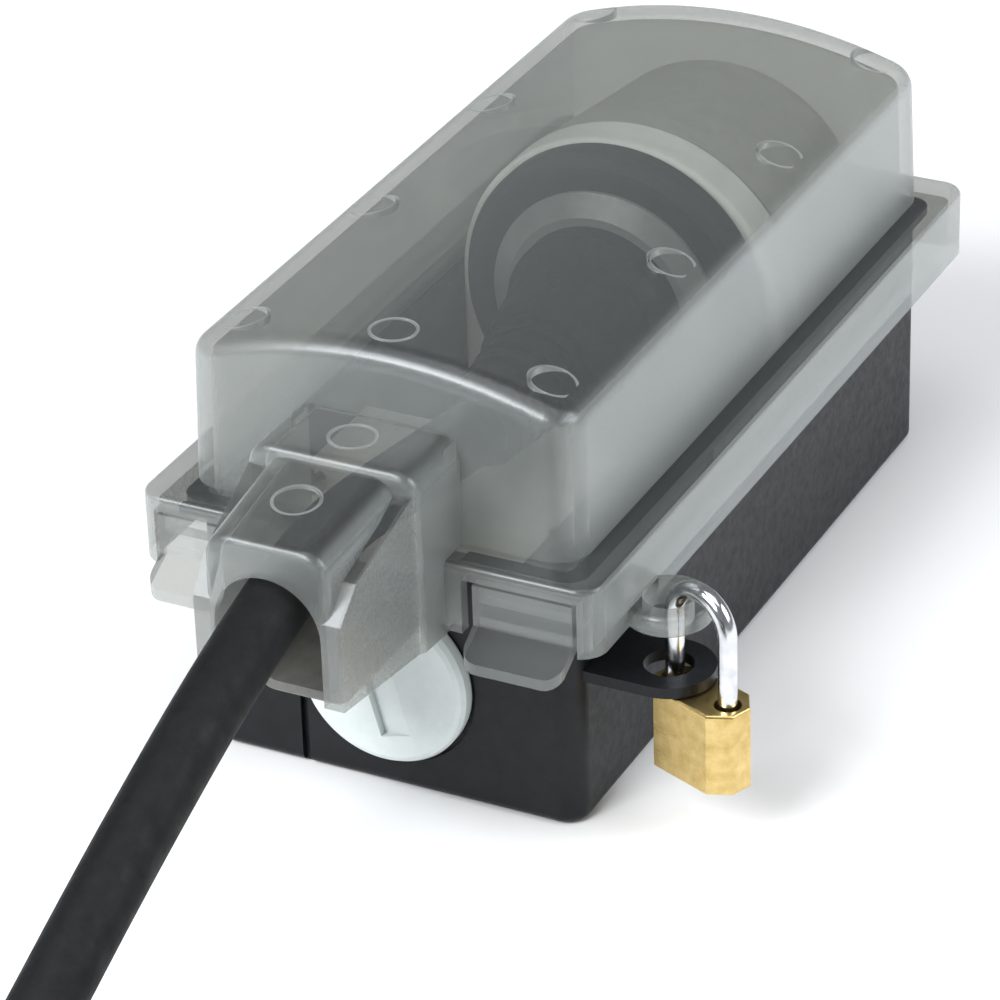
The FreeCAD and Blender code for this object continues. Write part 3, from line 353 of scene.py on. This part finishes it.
def make_stage():
    """Pale floor, bright plain surroundings and three soft lights."""
    mesh = bpy.data.meshes.new("floor")
    reach = 6.0
    corners = [(-reach, -reach, 0), (reach, -reach, 0), (reach, reach, 0), (-reach, reach, 0)]
    mesh.from_pydata(corners, [], [(0, 1, 2, 3)])
    floor = bpy.data.objects.new("floor", mesh)
    floor.location.z = -FLOOR_DROP
    bpy.context.collection.objects.link(floor)
    mesh.materials.append(new_material("floor", (0.86, 0.86, 0.86), 0.8))

    world = bpy.data.worlds.new("studio")
    bpy.context.scene.world = world
    world.use_nodes = True
    sky = world.node_tree.nodes["Background"]
    sky.inputs["Color"].default_value = (0.93, 0.96, 1.0, 1)
    sky.inputs["Strength"].default_value = 0.26

    aim = (0, 0, 0.03)
    area_light("key", (-0.35, -0.95, 0.85), aim, 0.8, 0.5, 22.0, (0.96, 0.98, 1.0))
    area_light("side", (0.95, 0.1, 0.7), aim, 0.7, 0.6, 9.0, (0.94, 0.97, 1.0))
    area_light("over", (0.1, -0.25, 1.2), aim, 0.9, 0.7, 5.0)
    bpy.context.scene.view_settings.view_transform = "Standard"


# ---- cord -------------------------------------------------------------------

def coil_points():
    """Points of the coil, each turn moving aside in the quarter when its next place is free."""
    points = []
    for step in range(1, round(COIL_TURNS * COIL_POINTS_PER_TURN)):
        lap, share = divmod(step / COIL_POINTS_PER_TURN, 1)
        lap = int(lap)
        quarter = 3 - lap
        move = min(1, max(0, share * 4 - quarter))
        (radius, height), (next_radius, next_height) = COIL_STARTS[lap:lap + 2]
        radius += (next_radius - radius) * move
        height += (next_height - height) * move
        angle = math.pi * (1 + 2 * share)
        points.append((COIL_CENTRE[0] + radius * math.cos(angle),
                       COIL_CENTRE[1] + radius * math.sin(angle), height))
    return points


def make_tie(material):
    """A woven strap once around the coil, its end lapped over and a little proud."""
    half_wide = 5 * MM
    thick = 1.1 * MM
    middle, top_turn = COIL_STARTS[4]
    mesh = bpy.data.meshes.new("coil_strap")
    shape = bmesh.new()
    rows = []
    for step in range(STRAP_ROWS + STRAP_LAP_ROWS):
        angle = math.pi * (1.25 + 2 * step / STRAP_ROWS)
        lift = STRAP_LAP * min(1, max(0, (step - STRAP_ROWS + 3) / 3))
        wide = STRAP_HALF_ACROSS + lift
        out, up = math.cos(angle), math.sin(angle)
        squareness = (abs(out) ** 6 + abs(up) ** 6) ** (-1 / 6)
        radial = wide * out * squareness
        height = STRAP_HALF_HIGH + (STRAP_HALF_HIGH + lift) * up * squareness
        if up > 0:
            hump = 1 - (abs(out) * squareness * 1.15) ** 2
            height += (top_turn - COIL_RIM) * max(0, hump)
        height = max(height, STRAP_LOWEST)
        place = Vector((COIL_CENTRE[0] + middle + radial, COIL_CENTRE[1], height)) * MM
        wave = 0.15 * MM * math.sin(step * 0.7)
        rows.append([shape.verts.new(place + Vector((0, side * half_wide + wave, 0)))
                     for side in (-1, -0.5, 0, 0.5, 1)])
    for row, following in zip(rows, rows[1:]):
        for column in range(4):
            shape.faces.new((row[column], row[column + 1],
                             following[column + 1], following[column]))
    bmesh.ops.recalc_face_normals(shape, faces=shape.faces)
    shape.to_mesh(mesh)
    shape.free()
    strap = bpy.data.objects.new("coil_strap", mesh)
    bpy.context.collection.objects.link(strap)
    solid = strap.modifiers.new("thickness", "SOLIDIFY")
    solid.thickness = thick
    solid.offset = 0
    smooth = strap.modifiers.new("smooth", "SUBSURF")
    smooth.levels = 1
    smooth.render_levels = 1
    mesh.materials.append(material)
    for face in mesh.polygons:
        face.use_smooth = True
    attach(strap, "box")
    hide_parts("coil_tie")


def make_cord(material):
    """The whole free cord as one smooth spline of its real length."""
    route = list(CORD_ROUTE) + coil_points() + list(TAIL_ROUTE)
    curve = bpy.data.curves.new("cord", "CURVE")
    curve.dimensions = "3D"
    curve.bevel_depth = CORD_DIAMETER / 2
    curve.bevel_resolution = 8
    curve.resolution_u = 8
    spline = curve.splines.new("NURBS")
    spline.points.add(len(route) - 1)
    for point, place in zip(spline.points, route):
        point.co = (*(value * MM for value in place), 1)
    spline.order_u = 3
    spline.use_endpoint_u = True
    spline.use_smooth = True
    cord = bpy.data.objects.new("cord", curve)
    bpy.context.collection.objects.link(cord)
    curve.materials.append(material)
    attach(cord, "box")
    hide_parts("cord_run", "cord_coil", "cord_tail")


materials = make_materials()
dress_nodes(materials)
make_camera()
make_stage()
make_tie(materials["tie_black"])
make_cord(materials["cord_rubber"])
